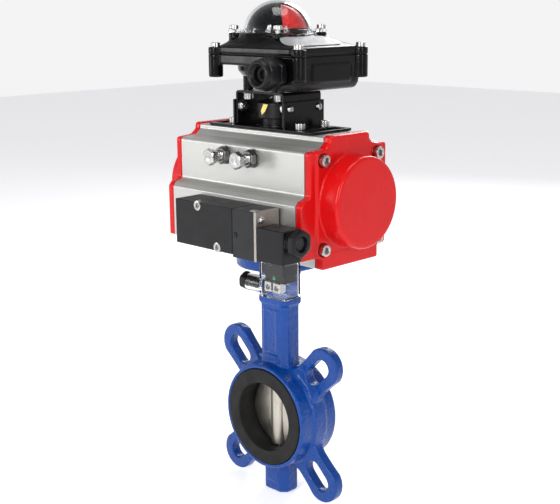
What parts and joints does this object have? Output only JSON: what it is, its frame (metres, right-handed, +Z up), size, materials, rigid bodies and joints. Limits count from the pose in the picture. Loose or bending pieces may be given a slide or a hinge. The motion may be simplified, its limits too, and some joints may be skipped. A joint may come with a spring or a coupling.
{
  "type": "pneumatic actuated valve",
  "caption": "Wafer butterfly valve turned by a rack-and-pinion air actuator, with a switch box on a bracket and a solenoid air valve.",
  "frame": {"origin": "centre of the valve bore, on the pipe axis and on the stem axis, between the two pipe flanges", "axes": "+Z up along the stem towards the switch box, Y along the pipe with the solenoid valve on the -Y side, +X along the actuator towards the solenoid coil"},
  "size_m": [0.204, 0.1334, 0.444],
  "materials": {
    "blue_epoxy": "glossy blue epoxy coating over ductile iron",
    "rubber": "matt black EPDM rubber",
    "disc_steel": "satin cast stainless steel",
    "steel": "bright stainless steel",
    "bronze": "plain sintered bronze",
    "anodised": "satin clear anodised extrusion",
    "red_enamel": "glossy red coating over die-cast aluminium",
    "cast_aluminium": "plain die-cast aluminium",
    "bearing_plastic": "grey acetal",
    "black_steel": "black painted sheet steel",
    "black_cast": "satin black coating over die-cast aluminium",
    "black_plastic": "satin black nylon",
    "dark_plastic": "satin dark grey plastic",
    "clear": "clear polycarbonate",
    "red_plastic": "red plastic",
    "yellow_plastic": "yellow plastic",
    "green_plastic": "green plastic"
  },
  "bodies": {
    "housing": {"valve_body": "blue_epoxy", "seat_liner": "rubber", "stem_seal": "rubber", "lid_gasket": "rubber", "left_stop_bolt": "steel", "right_stop_bolt": "steel", "left_stop_nut": "steel", "right_stop_nut": "steel", "left_cap_bolt_1": "steel", "left_cap_bolt_2": "steel", "left_cap_bolt_3": "steel", "left_cap_bolt_4": "steel", "right_cap_bolt_1": "steel", "right_cap_bolt_2": "steel", "right_cap_bolt_3": "steel", "right_cap_bolt_4": "steel", "bracket_screw_1": "steel", "bracket_screw_2": "steel", "bracket_screw_3": "steel", "bracket_screw_4": "steel", "solenoid_screw_1": "steel", "solenoid_screw_2": "steel", "coil_plate": "steel", "upper_stem_bushing": "bronze", "lower_stem_bushing": "bronze", "actuator_body": "anodised", "left_end_cap": "red_enamel", "right_end_cap": "red_enamel", "upper_pinion_bearing": "bearing_plastic", "lower_pinion_bearing": "bearing_plastic", "open_microswitch": "bearing_plastic", "closed_microswitch": "bearing_plastic", "bracket_base": "black_steel", "bracket_top": "black_steel", "switch_housing": "black_cast", "switch_lid": "black_cast", "indicator_shade": "black_plastic", "cable_gland": "black_plastic", "gland_nut": "black_plastic", "solenoid_body": "black_plastic", "solenoid_coil": "black_plastic", "coil_nut": "black_plastic", "connector_block": "black_plastic", "connector_nut": "black_plastic", "pilot_block": "dark_plastic", "indicator_dome": "clear", "connector_housing": "clear", "terminal_strip": "green_plastic"},
    "turning": {"disc": "disc_steel", "valve_stem": "steel", "pinion": "steel", "position_indicator": "black_plastic", "switch_shaft": "steel", "lower_cam": "yellow_plastic", "upper_cam": "red_plastic", "indicator_rotor": "red_plastic"},
    "right_piston": {"right_piston": "cast_aluminium"},
    "left_piston": {"left_piston": "cast_aluminium"},
    "override_button": {"override_button": "black_plastic"},
    "spool": {"spool": "steel"}
  },
  "joints": [
    {"name": "stem_turn", "type": "hinge", "parent": "housing", "child": "turning", "pos_m": [0, 0, 0], "axis": [0, 0, 1], "range_deg": [0, 90]},
    {"name": "right_piston_slide", "type": "slide", "parent": "housing", "child": "right_piston", "axis": [1, 0, 0], "range_m": [0, 0.0189]},
    {"name": "left_piston_slide", "type": "slide", "parent": "housing", "child": "left_piston", "axis": [-1, 0, 0], "range_m": [0, 0.0189]},
    {"name": "override_press", "type": "slide", "parent": "housing", "child": "override_button", "axis": [0, 1, 0], "range_m": [0, 0.002], "stiffness_N_per_m": 600, "springref_m": -0.002},
    {"name": "spool_shift", "type": "slide", "parent": "housing", "child": "spool", "axis": [1, 0, 0], "range_m": [0, 0.004], "stiffness_N_per_m": 500, "springref_m": -0.004}
  ],
  "couplings": [
    {"joint": "right_piston_slide", "follows": "stem_turn", "m_per_rad": 0.012},
    {"joint": "left_piston_slide", "follows": "stem_turn", "m_per_rad": 0.012}
  ]
}
